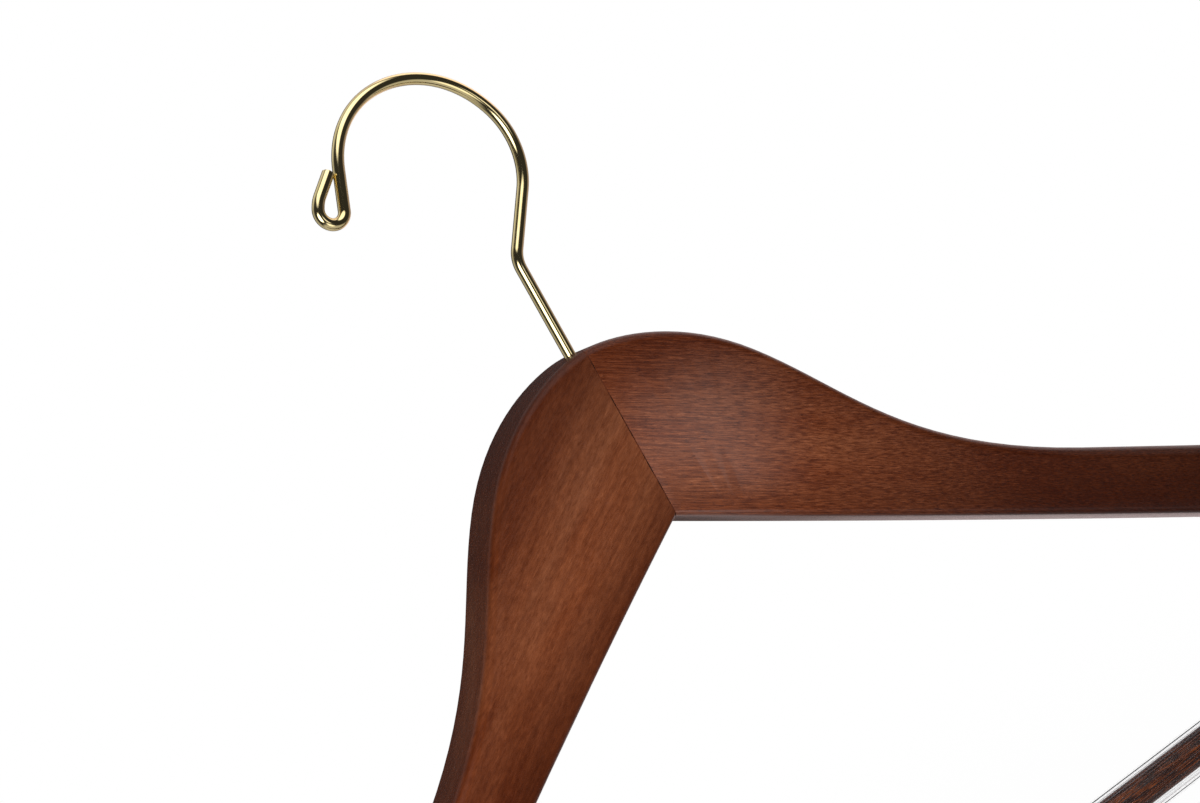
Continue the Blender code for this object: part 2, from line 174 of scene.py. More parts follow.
def as_piece(name, bm, material, body, replaced=None):
    """Makes a smooth-shaded object that rides on a CAD body and may stand for a node."""
    for face in bm.faces:
        face.smooth = True
    mesh = bpy.data.meshes.new(name)
    bm.to_mesh(mesh)
    bm.free()
    mesh.set_sharp_from_angle(angle=SHARP_ANGLE)
    mesh.materials.append(material)
    piece = bpy.data.objects.new(name, mesh)
    bpy.context.scene.collection.objects.link(piece)
    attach(piece, body)
    if replaced:
        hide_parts(replaced)


def open_end(made):
    """Vertices and edges of the loop that an extrusion has just made."""
    verts = [item for item in made if isinstance(item, bmesh.types.BMVert)]
    new = set(verts)
    edges = [item for item in made if isinstance(item, bmesh.types.BMEdge) and set(item.verts) <= new]
    return verts, edges


def extrude_loop(bm, edges, offset, widen=1.0):
    """Carries an open loop on by offset and widens it about its new centre."""
    verts, edges = open_end(bmesh.ops.extrude_edge_only(bm, edges=edges)["geom"])
    bmesh.ops.translate(bm, verts=verts, vec=offset)
    centre = sum((vert.co for vert in verts), Vector()) / len(verts)
    bmesh.ops.scale(bm, verts=verts, vec=(widen, widen, widen), space=Matrix.Translation(-centre))
    return edges


# Wood

def on_wood(tree, tilt):
    """Place on the wood: X runs along it from the apex and Z up from its underside."""
    place = add(tree, "ShaderNodeTexCoord").outputs["Object"]
    return add(tree, "ShaderNodeMapping", {"Vector": place, "Location": APEX, "Rotation": (0.0, tilt, 0.0)},
               vector_type="TEXTURE").outputs["Vector"]


def grain(tree, turned, layers, seed):
    """Layers of noise drawn out along the wood, from a table such as WOOD_LAYERS."""
    made = {}
    for number, (name, (along, across, detail, low, high)) in enumerate(layers.items()):
        sized = add(tree, "ShaderNodeVectorMath", {0: turned, 1: (along * MM, across * MM, across * MM)},
                    operation="DIVIDE").outputs["Vector"]
        noise = add(tree, "ShaderNodeTexNoise",
                    {"Vector": sized, "W": seed + number, "Scale": 1.0, "Detail": detail},
                    noise_dimensions="4D").outputs["Fac"]
        made[name] = add(tree, "ShaderNodeMapRange",
                         {"Value": noise, "From Min": low, "From Max": high}).outputs["Result"]
    return made


# Grain of the arms: each layer's length along and across the wood in mm, its detail, and the noise at
# which it starts and is full. Real fibres are finer, too fine to show, so they are drawn this coarse.
WOOD_LAYERS = {
    "tone": (60.0, 9.0, 2.0, 0.34, 0.66),
    "bands": (90.0, 1.5, 3.0, 0.38, 0.66),
    "mottle": (2.2, 1.0, 4.0, 0.36, 0.66),
    "lines": (16.0, 0.26, 2.0, 0.42, 0.60),
    "fibres": (2.6, 0.32, 4.0, 0.38, 0.64),
    "flecks": (1.8, 0.28, 1.0, 0.58, 0.68),
    "glints": (3.0, 0.38, 2.0, 0.56, 0.70),
}
# Where the painted shade starts and where it is deepest, in mm: darker towards the tips, on the crown
# and along the lower edge. The reach is measured along the arm from the seam, the crown and the hem up
# from its underside
PAINTED_SHADE_DEPTHS = {"reach": (16.0, 118.0), "crown": (18.0, 50.0), "hem": (15.0, 0.5)}
# Each arm is cut from its own board: the way its grain slopes, the seed of its grain, its share of pale
# fibres, its tint (on the left arm a darker painted shade), and how strongly each layer darkens its stain,
# the reach, crown and hem as painted shade
BOARDS = {
    "left": {"slope": -WOOD_SLOPE, "seed": 37.0, "pale": 0.10, "tint": (0.83, 0.86, 0.88),
             "stain": {"reach": 0.84, "crown": 0.86, "hem": 0.66, "bands": 0.34, "mottle": 0.36,
                       "lines": 0.10, "fibres": 0.22, "flecks": 0.24}},
    "right": {"slope": WOOD_SLOPE, "seed": 4.0, "pale": 0.35, "tint": (1.07, 1.07, 1.07),
              "stain": {"reach": 0.78, "crown": 0.66, "hem": 0.42, "bands": 0.10, "mottle": 0.20,
                        "lines": 0.66, "fibres": 0.46, "flecks": 0.56}},
}
# Painted sheen on the right arm: a patch of extra lacquer gloss, at its place along, across and above the
# underside, and how far from there it is full and gone
SHEEN_PLACE = Vector((7.0 * MM, -10.6 * MM, 16.0 * MM))
SHEEN_FULL = 4.0 * MM
SHEEN_GONE = 36.0 * MM


def painted_shade_depth(tree, turned):
    """How deep the painted shade is towards the tips, on the crown and along the lower edge."""
    along, _, above = add(tree, "ShaderNodeSeparateXYZ", {0: turned}).outputs
    away = add(tree, "ShaderNodeMath", {0: along}, operation="ABSOLUTE").outputs[0]
    return {name: add(tree, "ShaderNodeMapRange", {"Value": away if name == "reach" else above,
                                                   "From Min": start * MM, "From Max": full * MM},
                      interpolation_type="SMOOTHSTEP").outputs["Result"]
            for name, (start, full) in PAINTED_SHADE_DEPTHS.items()}


def stained_beech(side, wood):
    """Walnut-stained beech under satin lacquer: warm brown tones, fine fibres, short dark ray flecks,
    painted shade towards the tips, the crown and the lower edge, and a painted sheen on the right arm.
    """
    made, tree, shader = new_finish(f"walnut_stained_beech_{side}", Specular_IOR_Level=wood.gloss, IOR=1.5,
                                    Coat_Weight=0.0, Coat_Roughness=0.22, Coat_IOR=1.5)
    board = BOARDS[side]
    turned = on_wood(tree, board["slope"])
    layer = grain(tree, turned, WOOD_LAYERS, board["seed"])
    # Painted shade towards the tips, on the crown and along the lower edge joins the grain layers
    layer.update(painted_shade_depth(tree, turned))
    shade = (*(dark / middle for dark, middle in zip(wood.dark, wood.middle)), 1.0)
    # The board's tint, which darkens the left arm as painted shade
    middle, light = ([part * tint for part, tint in zip(tone, board["tint"])]
                     for tone in (wood.middle, wood.light))
    colour = add(tree, "ShaderNodeMix",
                 {MIX_SHARE: layer["tone"], MIX_FIRST: linear_of(middle), MIX_SECOND: linear_of(light)},
                 data_type="RGBA").outputs[MIX_RESULT]
    share = add(tree, "ShaderNodeMath", {0: layer["glints"], 1: board["pale"]},
                operation="MULTIPLY").outputs[0]
    colour = add(tree, "ShaderNodeMix",
                 {MIX_SHARE: share, MIX_FIRST: colour, MIX_SECOND: linear_of(wood.glint)},
                 data_type="RGBA").outputs[MIX_RESULT]
    # Each layer darkens the stain: the grain layers as stain, the reach, crown and hem as painted shade
    for name, strength in board["stain"].items():
        share = add(tree, "ShaderNodeMath", {0: layer[name], 1: strength}, operation="MULTIPLY").outputs[0]
        colour = add(tree, "ShaderNodeMix", {MIX_SHARE: share, MIX_FIRST: colour, MIX_SECOND: shade},
                     data_type="RGBA", blend_type="MULTIPLY").outputs[MIX_RESULT]
    tree.links.new(colour, shader.inputs["Base Color"])
    rough = add(tree, "ShaderNodeMapRange", {"Value": layer["fibres"], "To Min": wood.roughness - 0.05,
                                             "To Max": wood.roughness + 0.07}).outputs["Result"]
    tree.links.new(rough, shader.inputs["Roughness"])
    # Painted sheen: the lacquer's weight is raised in a patch near the seam on the right arm
    if side == "right":
        away = add(tree, "ShaderNodeVectorMath", {0: turned, 1: SHEEN_PLACE},
                   operation="DISTANCE").outputs["Value"]
        coat = add(tree, "ShaderNodeMapRange", {"Value": away, "From Min": SHEEN_FULL,
                                                "From Max": SHEEN_GONE, "To Min": wood.coat, "To Max": 0.0},
                   interpolation_type="SMOOTHSTEP").outputs["Result"]
        tree.links.new(coat, shader.inputs["Coat Weight"])
    height = add(tree, "ShaderNodeMath", {0: layer["fibres"], 1: layer["flecks"]},
                 operation="ADD").outputs[0]
    bump = add(tree, "ShaderNodeBump", {"Height": height, "Strength": 0.45, "Distance": wood.pore_depth},
               invert=True).outputs["Normal"]
    tree.links.new(bump, shader.inputs["Normal"])
    return made


class SuitHangerWood(bpy.types.PropertyGroup):
    """Stained wood of the two arms."""
    light: bpy.props.FloatVectorProperty(
        name="Light", description="Lightest tone of the stained wood", subtype="COLOR", size=3,
        default=linear("#7E4A2F")[:3], min=0.0, max=1.0)
    middle: bpy.props.FloatVectorProperty(
        name="Middle", description="Main tone of the stained wood", subtype="COLOR", size=3,
        default=linear("#6E381D")[:3], min=0.0, max=1.0)
    # The dark tone also sets the painted shade towards the tips, on the crown and along the lower edge
    dark: bpy.props.FloatVectorProperty(
        name="Dark", description="Tone of bands, fibres and ray flecks", subtype="COLOR", size=3,
        default=linear("#3D1203")[:3], min=0.0, max=1.0)
    glint: bpy.props.FloatVectorProperty(
        name="Glint", description="Tone of the short pale fibres", subtype="COLOR", size=3,
        default=linear("#A86B49")[:3], min=0.0, max=1.0)
    roughness: bpy.props.FloatProperty(
        name="Roughness", description="Roughness of the stained wood under its lacquer", default=0.30,
        min=0.1, max=1.0)
    # The lacquer's weight at the middle of the painted sheen on the right arm
    coat: bpy.props.FloatProperty(
        name="Lacquer", description="Weight of the satin lacquer where it lies thickest", default=0.9,
        min=0.0, max=1.0)
    gloss: bpy.props.FloatProperty(
        name="Gloss", description="Gloss of the stained and sealed wood", default=0.14, min=0.0, max=1.0)
    pore_depth: bpy.props.FloatProperty(
        name="Pore depth", description="Depth of fibres and flecks in the lacquer", default=0.03 * MM,
        min=0.0, max=0.2 * MM, unit="LENGTH", precision=6)


class SuitHangerWire(bpy.types.PropertyGroup):
    """Plated wire of the hook."""
    diameter: bpy.props.FloatProperty(
        name="Wire diameter", description="Diameter of the hook's wire", default=3.2 * MM,
        min=1.0 * MM, max=3.3 * MM, unit="LENGTH", precision=5)
    colour: bpy.props.FloatVectorProperty(
        name="Plate", description="Colour of the pale brass plate", subtype="COLOR", size=3,
        default=linear("#E0D0A2")[:3], min=0.0, max=1.0)
    roughness: bpy.props.FloatProperty(
        name="Roughness", description="Roughness of the drawn and plated wire", default=0.08,
        min=0.02, max=0.6)


class SuitHangerBar(bpy.types.PropertyGroup):
    """Trouser bar and its clear sleeve."""
    stain: bpy.props.FloatVectorProperty(
        name="Stain", description="Main colour of the bar's dark stain", subtype="COLOR", size=3,
        default=linear("#28130C")[:3], min=0.0, max=1.0)
    streaks: bpy.props.FloatVectorProperty(
        name="Streaks", description="Colour of the fibres that took less stain", subtype="COLOR", size=3,
        default=linear("#9A4E1E")[:3], min=0.0, max=1.0)
    vinyl: bpy.props.FloatVectorProperty(
        name="Vinyl", description="Tint of the clear sleeve", subtype="COLOR", size=3,
        default=linear("#B9BCC4")[:3], min=0.0, max=1.0)
    rib_round: bpy.props.FloatProperty(
        name="Rib rounding", description="Rounding of the sleeve's ribs", default=0.1 * MM,
        min=0.0, max=0.15 * MM, unit="LENGTH", precision=6)


class SuitHangerStage(bpy.types.PropertyGroup):
    """Floor, key lamp and surroundings."""
    floor_drop: bpy.props.FloatProperty(
        name="Floor", description="Height of the floor under the hook's inside top", default=-0.75,
        min=-3.0, max=-0.3, unit="LENGTH")
    ambient: bpy.props.FloatProperty(
        name="Room light", description="Strength of the even light of the room", default=0.14, min=0.0,
        max=2.0)
    back_light: bpy.props.FloatProperty(
        name="Back light", description="Strength of the room's light from behind", default=2.4, min=0.0,
        max=4.0)
    key_power: bpy.props.FloatProperty(
        name="Key lamp", description="Power of the soft lamp at the front left", default=112.0, min=0.0,
        subtype="POWER")
    key_cone: bpy.props.FloatProperty(
        name="Key cone", description="Full angle over which the key lamp fades out",
        default=math.radians(34.0), min=math.radians(10.0), max=math.radians(120.0), subtype="ANGLE")


class DressArms(bpy.types.Operator):
    """Smooth-shaded wooden arms with stained and lacquered grain"""
    bl_idname = "suit_hanger.arms"
    bl_label = "Wooden arms"

    def execute(self, context):
        wood = context.scene.suit_hanger_wood
        for side in SIDES:
            as_piece(f"{side}_arm_wood", merged_copy(f"{side}_arm"), stained_beech(side, wood), "hanger",
                     f"{side}_arm")
        return {"FINISHED"}


class DressGlueLine(bpy.types.Operator):
    """Thin film of glue that closes the seam between the arms"""
    bl_idname = "suit_hanger.glue_line"
    bl_label = "Glue line"

    def execute(self, context):
        bm = merged_copy("left_arm")
        cut_place = APEX - Vector((FIT_GAP / 2.0 + FILM_CUT_DEPTH, 0.0, 0.0))
        whole = bm.verts[:] + bm.edges[:] + bm.faces[:]
        cut = bmesh.ops.bisect_plane(bm, geom=whole, plane_co=cut_place, plane_no=(1.0, 0.0, 0.0),
                                     clear_inner=True, clear_outer=True)["geom_cut"]
        edges = [item for item in cut if isinstance(item, bmesh.types.BMEdge)]
        if not edges:
            raise RuntimeError("the seam's outline wasn't found")
        film = bmesh.ops.triangle_fill(bm, use_beauty=True, use_dissolve=False, edges=edges)["geom"]
        faces = [item for item in film if isinstance(item, bmesh.types.BMFace)]
        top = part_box("left_arm")[1].z
        middle = Vector((APEX.x, APEX.y, (APEX.z + top) / 2.0))
        narrow = 1.0 - FILM_RECESS / HALF_THICKNESS
        short = 1.0 - 2.0 * FILM_RECESS / (top - APEX.z)
        bmesh.ops.scale(bm, vec=(1.0, narrow, short), verts=bm.verts[:], space=Matrix.Translation(-middle))
        outward = APEX.x + FILM_THICKNESS / 2.0 - cut_place.x
        bmesh.ops.translate(bm, vec=(outward, 0.0, 0.0), verts=bm.verts[:])
        bmesh.ops.solidify(bm, geom=faces, thickness=FILM_THICKNESS)
        bmesh.ops.recalc_face_normals(bm, faces=bm.faces[:])
        as_piece("glue_line", bm, cured_glue(), "hanger")
        return {"FINISHED"}


def cured_glue():
    """Cured wood glue that took the stain unevenly: a matt line, dark here and brown there."""
    made, tree, shader = new_finish("stained_cured_wood_glue", Roughness=0.6, Specular_IOR_Level=0.1)
    place = add(tree, "ShaderNodeTexCoord").outputs["Object"]
    sized = add(tree, "ShaderNodeVectorMath", {0: place, 1: (2.0 * MM, 2.0 * MM, 4.0 * MM)},
                operation="DIVIDE").outputs["Vector"]
    stained = add(tree, "ShaderNodeTexNoise", {"Vector": sized, "Scale": 1.0, "Detail": 3.0}).outputs["Fac"]
    share = add(tree, "ShaderNodeMapRange",
                {"Value": stained, "From Min": 0.42, "From Max": 0.6}).outputs["Result"]
    colour = add(tree, "ShaderNodeMix",
                 {MIX_SHARE: share, MIX_FIRST: linear("#1A0B06"), MIX_SECOND: linear("#4A2416")},
                 data_type="RGBA").outputs[MIX_RESULT]
    tree.links.new(colour, shader.inputs["Base Color"])
    return made


class DressHook(bpy.types.Operator):
    """Bent wire hook with a small eye at its free end"""
    bl_idname = "suit_hanger.hook"
    bl_label = "Wire hook"

    def execute(self, context):
        wire = context.scene.suit_hanger_wire
        as_piece("bent_wire_hook", bend_wire(wire.diameter / 2.0), plated_wire(wire), "hook",
                 "hook")
        return {"FINISHED"}


def bend_wire(radius):
    """Draws a round wire out of its head and bends it in its plane, ring after ring."""
    bm = bmesh.new()
    drawn = HEAD_RADIUS - WIRE_CHAMFER
    foot = bmesh.ops.create_circle(bm, cap_ends=True, segments=WIRE_SIDES, radius=drawn,
                                   matrix=Matrix.Translation((0.0, 0.0, HOOK_FOOT)))["verts"]
    edges = [edge for edge in bm.edges if set(edge.verts) <= set(foot)]
    for rise, wide in ((WIRE_CHAMFER, HEAD_RADIUS), (HEAD_HEIGHT - 2.0 * WIRE_CHAMFER, HEAD_RADIUS),
                       (WIRE_CHAMFER, radius), (BEND_START - HOOK_FOOT - HEAD_HEIGHT, radius)):
        edges = extrude_loop(bm, edges, (0.0, 0.0, rise), wide / drawn)
        drawn = wide
    place = Vector((0.0, 0.0, BEND_START))
    heading = math.pi / 2.0
    for turn, bend_radius, run in WIRE_BENDS:
        side = math.copysign(bend_radius, turn)
        centre = place + side * Vector((-math.sin(heading), 0.0, math.cos(heading)))
        ring = edges + list(dict.fromkeys(vert for edge in edges for vert in edge.verts))
        last = bmesh.ops.spin(bm, geom=ring, cent=centre, axis=(0.0, -1.0, 0.0), angle=turn,
                              steps=math.ceil(abs(turn) / BEND_STEP))["geom_last"]
        edges = open_end(last)[1]
        heading += turn
        onward = Vector((math.cos(heading), 0.0, math.sin(heading)))
        place = centre - side * Vector((-math.sin(heading), 0.0, math.cos(heading)))
        if run > 0.0:
            edges = extrude_loop(bm, edges, run * onward)
            place += run * onward
    edges = extrude_loop(bm, edges, WIRE_CHAMFER * onward, (radius - WIRE_CHAMFER) / radius)
    bmesh.ops.contextual_create(bm, geom=edges)
    mark_drawn_place(bm, radius)
    bmesh.ops.rotate(bm, verts=bm.verts[:], matrix=Matrix.Rotation(HOOK_TURN, 3, "Z"))
    bmesh.ops.translate(bm, verts=bm.verts[:], vec=APEX)
    bmesh.ops.recalc_face_normals(bm, faces=bm.faces[:])
    return bm


def mark_drawn_place(bm, radius):
    """Stores where each point lay on the wire while it was straight, for the lines drawn along it."""
    drawn = bm.verts.layers.float_vector.new("drawn_place")
    bm.verts.ensure_lookup_table()
    travelled, previous = 0.0, None
    for start in range(0, len(bm.verts), WIRE_SIDES):
        ring = bm.verts[start:start + WIRE_SIDES]
        centre = sum((vert.co for vert in ring), Vector()) / WIRE_SIDES
        travelled += (centre - previous).length if previous else 0.0
        previous = centre
        for index, vert in enumerate(ring):
            angle = math.tau * index / WIRE_SIDES
            vert[drawn] = Vector((radius * math.cos(angle), radius * math.sin(angle), travelled))


def plated_wire(wire):
    """Drawn steel wire with a thin pale brass plate: bright, with faint lines along it.

    The lines are coarser than real ones, so that they show, and patches of deeper plate lie 4.5 mm apart.
    """
    made, tree, shader = new_finish("brass_plated_drawn_wire", Metallic=1.0)
    drawn = add(tree, "ShaderNodeAttribute", attribute_name="drawn_place").outputs["Vector"]
    lines = add(tree, "ShaderNodeVectorMath", {0: drawn, 1: (0.6 * MM, 0.6 * MM, 40.0 * MM)},
                operation="DIVIDE").outputs["Vector"]
    streak = add(tree, "ShaderNodeTexNoise", {"Vector": lines, "Scale": 1.0, "Detail": 3.0}).outputs["Fac"]
    patches = add(tree, "ShaderNodeTexNoise",
                  {"Vector": drawn, "Scale": 220.0, "Detail": 3.0}).outputs["Fac"]
    rough = add(tree, "ShaderNodeMapRange", {"Value": streak, "From Min": 0.3, "From Max": 0.7,
                                             "To Min": wire.roughness - 0.03,
                                             "To Max": wire.roughness + 0.04}).outputs["Result"]
    tree.links.new(rough, shader.inputs["Roughness"])
    colour = add(tree, "ShaderNodeMix",
                 {MIX_SHARE: patches, MIX_FIRST: linear_of(wire.colour), MIX_SECOND: linear("#CBB880")},
                 data_type="RGBA").outputs[MIX_RESULT]
    tree.links.new(colour, shader.inputs["Base Color"])
    bump = add(tree, "ShaderNodeBump",
               {"Height": streak, "Strength": 0.03, "Distance": 0.01 * MM}).outputs["Normal"]
    tree.links.new(bump, shader.inputs["Normal"])
    return made


class DressSteel(bpy.types.Operator):
    """Steel washer under the head and the two brads of the bar"""
    bl_idname = "suit_hanger.steel"
    bl_label = "Washer and brads"

    def execute(self, context):
        steel = bright_steel()
        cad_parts["hook_washer"].data.materials[0] = steel
        for side in SIDES:
            as_piece(f"{side}_brad_steel", merged_copy(f"bar_brad_{side}"), steel, "hanger",
                     f"bar_brad_{side}")
        return {"FINISHED"}


def bright_steel():
    """Bright mild steel, punched and cut: grey, with scratches 0.4 mm apart."""
    made, tree, shader = new_finish("bright_mild_steel", Base_Color=linear("#B9B9B6"), Metallic=1.0)
    place = add(tree, "ShaderNodeTexCoord").outputs["Object"]
    scratches = add(tree, "ShaderNodeTexNoise",
                    {"Vector": place, "Scale": 1.0 / (0.4 * MM), "Detail": 4.0}).outputs["Fac"]
    rough = add(tree, "ShaderNodeMapRange", {"Value": scratches, "From Min": 0.3, "From Max": 0.7,
                                             "To Min": 0.22, "To Max": 0.42}).outputs["Result"]
    tree.links.new(rough, shader.inputs["Roughness"])
    return made


class DressDowels(bpy.types.Operator):
    """Bare beech dowels across the seam"""
    bl_idname = "suit_hanger.dowels"
    bl_label = "Seam dowels"

    def execute(self, context):
        beech = bare_beech()
        for name in ("seam_dowel_lower", "seam_dowel_upper"):
            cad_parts[name].data.materials[0] = beech
        return {"FINISHED"}


def bare_beech():
    """Turned beech without a finish: pale and matt, with fine darker fibres along it."""
    made, tree, shader = new_finish("bare_turned_beech", Roughness=0.65)
    place = add(tree, "ShaderNodeTexCoord").outputs["Object"]
    sized = add(tree, "ShaderNodeVectorMath", {0: place, 1: (8.0 * MM, 0.3 * MM, 0.3 * MM)},
                operation="DIVIDE").outputs["Vector"]
    fibres = add(tree, "ShaderNodeTexNoise", {"Vector": sized, "Scale": 1.0, "Detail": 3.0}).outputs["Fac"]
    colour = add(tree, "ShaderNodeMix",
                 {MIX_SHARE: fibres, MIX_FIRST: linear("#D8B98C"), MIX_SECOND: linear("#A87F52")},
                 data_type="RGBA").outputs[MIX_RESULT]
    tree.links.new(colour, shader.inputs["Base Color"])
    return made


# Grain of the bar, in the same columns as that of the arms
BAR_LAYERS = {
    "tone": (60.0, 3.0, 2.0, 0.35, 0.65),
    "streaks": (7.0, 0.17, 1.0, 0.52, 0.64),
    "pores": (2.2, 0.20, 1.0, 0.60, 0.72),
}


def dark_dowel(bar):
    """Dowel with a near-black stain: fine fibres along it show where the stain took less."""
    made, tree, shader = new_finish("black_walnut_stained_dowel", Roughness=0.45, IOR=1.5,
                                    Specular_IOR_Level=0.15)
    layer = grain(tree, on_wood(tree, 0.0), BAR_LAYERS, 80.0)
    deep = add(tree, "ShaderNodeMix",
               {MIX_SHARE: layer["tone"], MIX_FIRST: linear("#140907"), MIX_SECOND: linear_of(bar.stain)},
               data_type="RGBA").outputs[MIX_RESULT]
    share = add(tree, "ShaderNodeMath", {0: layer["streaks"], 1: 0.5}, operation="MULTIPLY").outputs[0]
    colour = add(tree, "ShaderNodeMix",
                 {MIX_SHARE: share, MIX_FIRST: deep, MIX_SECOND: linear_of(bar.streaks)},
                 data_type="RGBA").outputs[MIX_RESULT]
    tree.links.new(colour, shader.inputs["Base Color"])
    bump = add(tree, "ShaderNodeBump", {"Height": layer["pores"], "Strength": 0.4, "Distance": 0.03 * MM},
               invert=True).outputs["Normal"]
    tree.links.new(bump, shader.inputs["Normal"])
    return made


class DressBar(bpy.types.Operator):
    """Dark-stained trouser bar"""
    bl_idname = "suit_hanger.bar"
    bl_label = "Trouser bar"

    def execute(self, context):
        bar = context.scene.suit_hanger_bar
        as_piece("trouser_bar_dowel", merged_copy("trouser_bar"), dark_dowel(bar), "hanger",
                 "trouser_bar")
        return {"FINISHED"}


class DressSleeve(bpy.types.Operator):
    """Clear sleeve with rounded lengthwise ribs"""
    bl_idname = "suit_hanger.sleeve"
    bl_label = "Ribbed sleeve"

    def execute(self, context):
        bar = context.scene.suit_hanger_bar
        bm = merged_copy("bar_sleeve")
        lengthwise = [edge for edge in bm.edges if rib_edge(edge)]
        bmesh.ops.bevel(bm, geom=lengthwise, affect="EDGES", offset=bar.rib_round, offset_type="OFFSET",
                        segments=2, profile=0.5, clamp_overlap=True, material=-1)
        bmesh.ops.recalc_face_normals(bm, faces=bm.faces[:])
        as_piece("ribbed_clear_sleeve", bm, clear_vinyl(bar), "sleeve", "bar_sleeve")
        return {"FINISHED"}


def rib_edge(edge):
    """Whether an edge runs along the sleeve on its outside and turns a rib's corner."""
    start, end = (vert.co for vert in edge.verts)
    across = start - SLEEVE_AXIS
    outside = math.hypot(across.y, across.z) > WALL_OUTSIDE
    lengthwise = abs(start.x - end.x) > RIB_RUN
    return outside and lengthwise and len(edge.link_faces) == 2 and edge.calc_face_angle() > RIB_TURN


def clear_vinyl(bar):
    """Thin extruded soft PVC: clear face on, glossy and milky where it is seen edge on, with flow lines."""
    made, tree, shader = new_finish("clear_extruded_pvc", Base_Color=linear_of(bar.vinyl), Roughness=0.08,
                                    IOR=1.53)
    edge_on = add(tree, "ShaderNodeLayerWeight", {"Blend": 0.5}).outputs["Facing"]
    alpha = add(tree, "ShaderNodeMapRange",
                {"Value": edge_on, "From Min": 0.5, "To Min": 0.01, "To Max": 0.8},
                interpolation_type="SMOOTHSTEP").outputs["Result"]
    place = add(tree, "ShaderNodeTexCoord").outputs["Object"]
    sized = add(tree, "ShaderNodeVectorMath", {0: place, 1: (30.0 * MM, 0.3 * MM, 0.3 * MM)},
                operation="DIVIDE").outputs["Vector"]
    lines = add(tree, "ShaderNodeTexNoise", {"Vector": sized, "Scale": 1.0, "Detail": 2.0}).outputs["Fac"]
    milk = add(tree, "ShaderNodeMapRange", {"Value": lines, "From Min": 0.42, "From Max": 0.58,
                                            "To Min": 0.25, "To Max": 1.0}).outputs["Result"]
    broken = add(tree, "ShaderNodeMath", {0: alpha, 1: milk}, operation="MULTIPLY").outputs[0]
    tree.links.new(broken, shader.inputs["Alpha"])
    bump = add(tree, "ShaderNodeBump",
               {"Height": lines, "Strength": 0.1, "Distance": 0.01 * MM}).outputs["Normal"]
    tree.links.new(bump, shader.inputs["Normal"])
    return made


class SetStage(bpy.types.Operator):
    """White floor, soft key lamp, white surroundings and the photo's camera"""
    bl_idname = "suit_hanger.stage"
    bl_label = "Photo stage"

    def execute(self, context):
        stage = context.scene.suit_hanger_stage
        lay_floor(context.scene, stage)
        hang_key_lamp(context.scene, stage)
        light_room(context.scene, stage)
        place_camera(context.scene)
        context.scene.view_settings.view_transform = "Standard"
        return {"FINISHED"}


def lay_floor(scene, stage):
    """Large floor under the hanger, which lights nothing and shows in no gloss."""
    bm = bmesh.new()
    bmesh.ops.create_grid(bm, x_segments=1, y_segments=1, size=FLOOR_HALF,
                          matrix=Matrix.Translation((0.0, 0.0, stage.floor_drop)))
    mesh = bpy.data.meshes.new("floor")
    bm.to_mesh(mesh)
    bm.free()
    mesh.materials.append(matt_paper())
    floor = bpy.data.objects.new("floor", mesh)
    scene.collection.objects.link(floor)
    floor.visible_diffuse = False
    floor.visible_glossy = False


def matt_paper():
    """Matt white backdrop paper: white to the camera, with a hint of the shadow near the hanger."""
    made, tree, shader = new_finish("matt_white_floor", Base_Color=linear("#F6F6F5"), Roughness=0.9)
    rays = add(tree, "ShaderNodeLightPath").outputs
    seen = add(tree, "ShaderNodeMath", {0: rays["Is Camera Ray"], 1: rays["Is Transmission Ray"]},
               operation="MAXIMUM").outputs[0]
    place = add(tree, "ShaderNodeTexCoord").outputs["Object"]
    level = add(tree, "ShaderNodeVectorMath", {0: place, 1: (1.0, 1.0, 0.0)},
                operation="MULTIPLY").outputs["Vector"]
    away = add(tree, "ShaderNodeVectorMath", {0: level}, operation="LENGTH").outputs["Value"]
    fade = add(tree, "ShaderNodeMapRange", {"Value": away, "From Min": SHADOW_FULL, "From Max": SHADOW_GONE,
                                            "To Min": 0.95, "To Max": 1.0},
               interpolation_type="SMOOTHSTEP").outputs["Result"]
    share = add(tree, "ShaderNodeMath", {0: seen, 1: fade}, operation="MULTIPLY").outputs[0]
    white = add(tree, "ShaderNodeEmission", {"Color": (1.0, 1.0, 1.0, 1.0), "Strength": 1.0}).outputs[0]
    blend = add(tree, "ShaderNodeMixShader", {0: share, 1: shader.outputs[0], 2: white}).outputs[0]
    tree.links.new(blend, tree.nodes["Material Output"].inputs["Surface"])
    return made


def hang_key_lamp(scene, stage):
    """Soft lamp at the front left that fades across the right arm; gloss sees the room's glows instead."""
    lamp = bpy.data.lights.new("key_lamp", "SPOT")
    lamp.energy = stage.key_power
    lamp.spot_size = stage.key_cone
    lamp.spot_blend = 1.0
    lamp.shadow_soft_size = KEY_RADIUS
    key = bpy.data.objects.new("key_lamp", lamp)
    key.location = KEY_PLACE
    key.rotation_euler = (KEY_PLACE - KEY_TARGET).to_track_quat("Z", "Y").to_euler()
    key.visible_glossy = False
    scene.collection.objects.link(key)


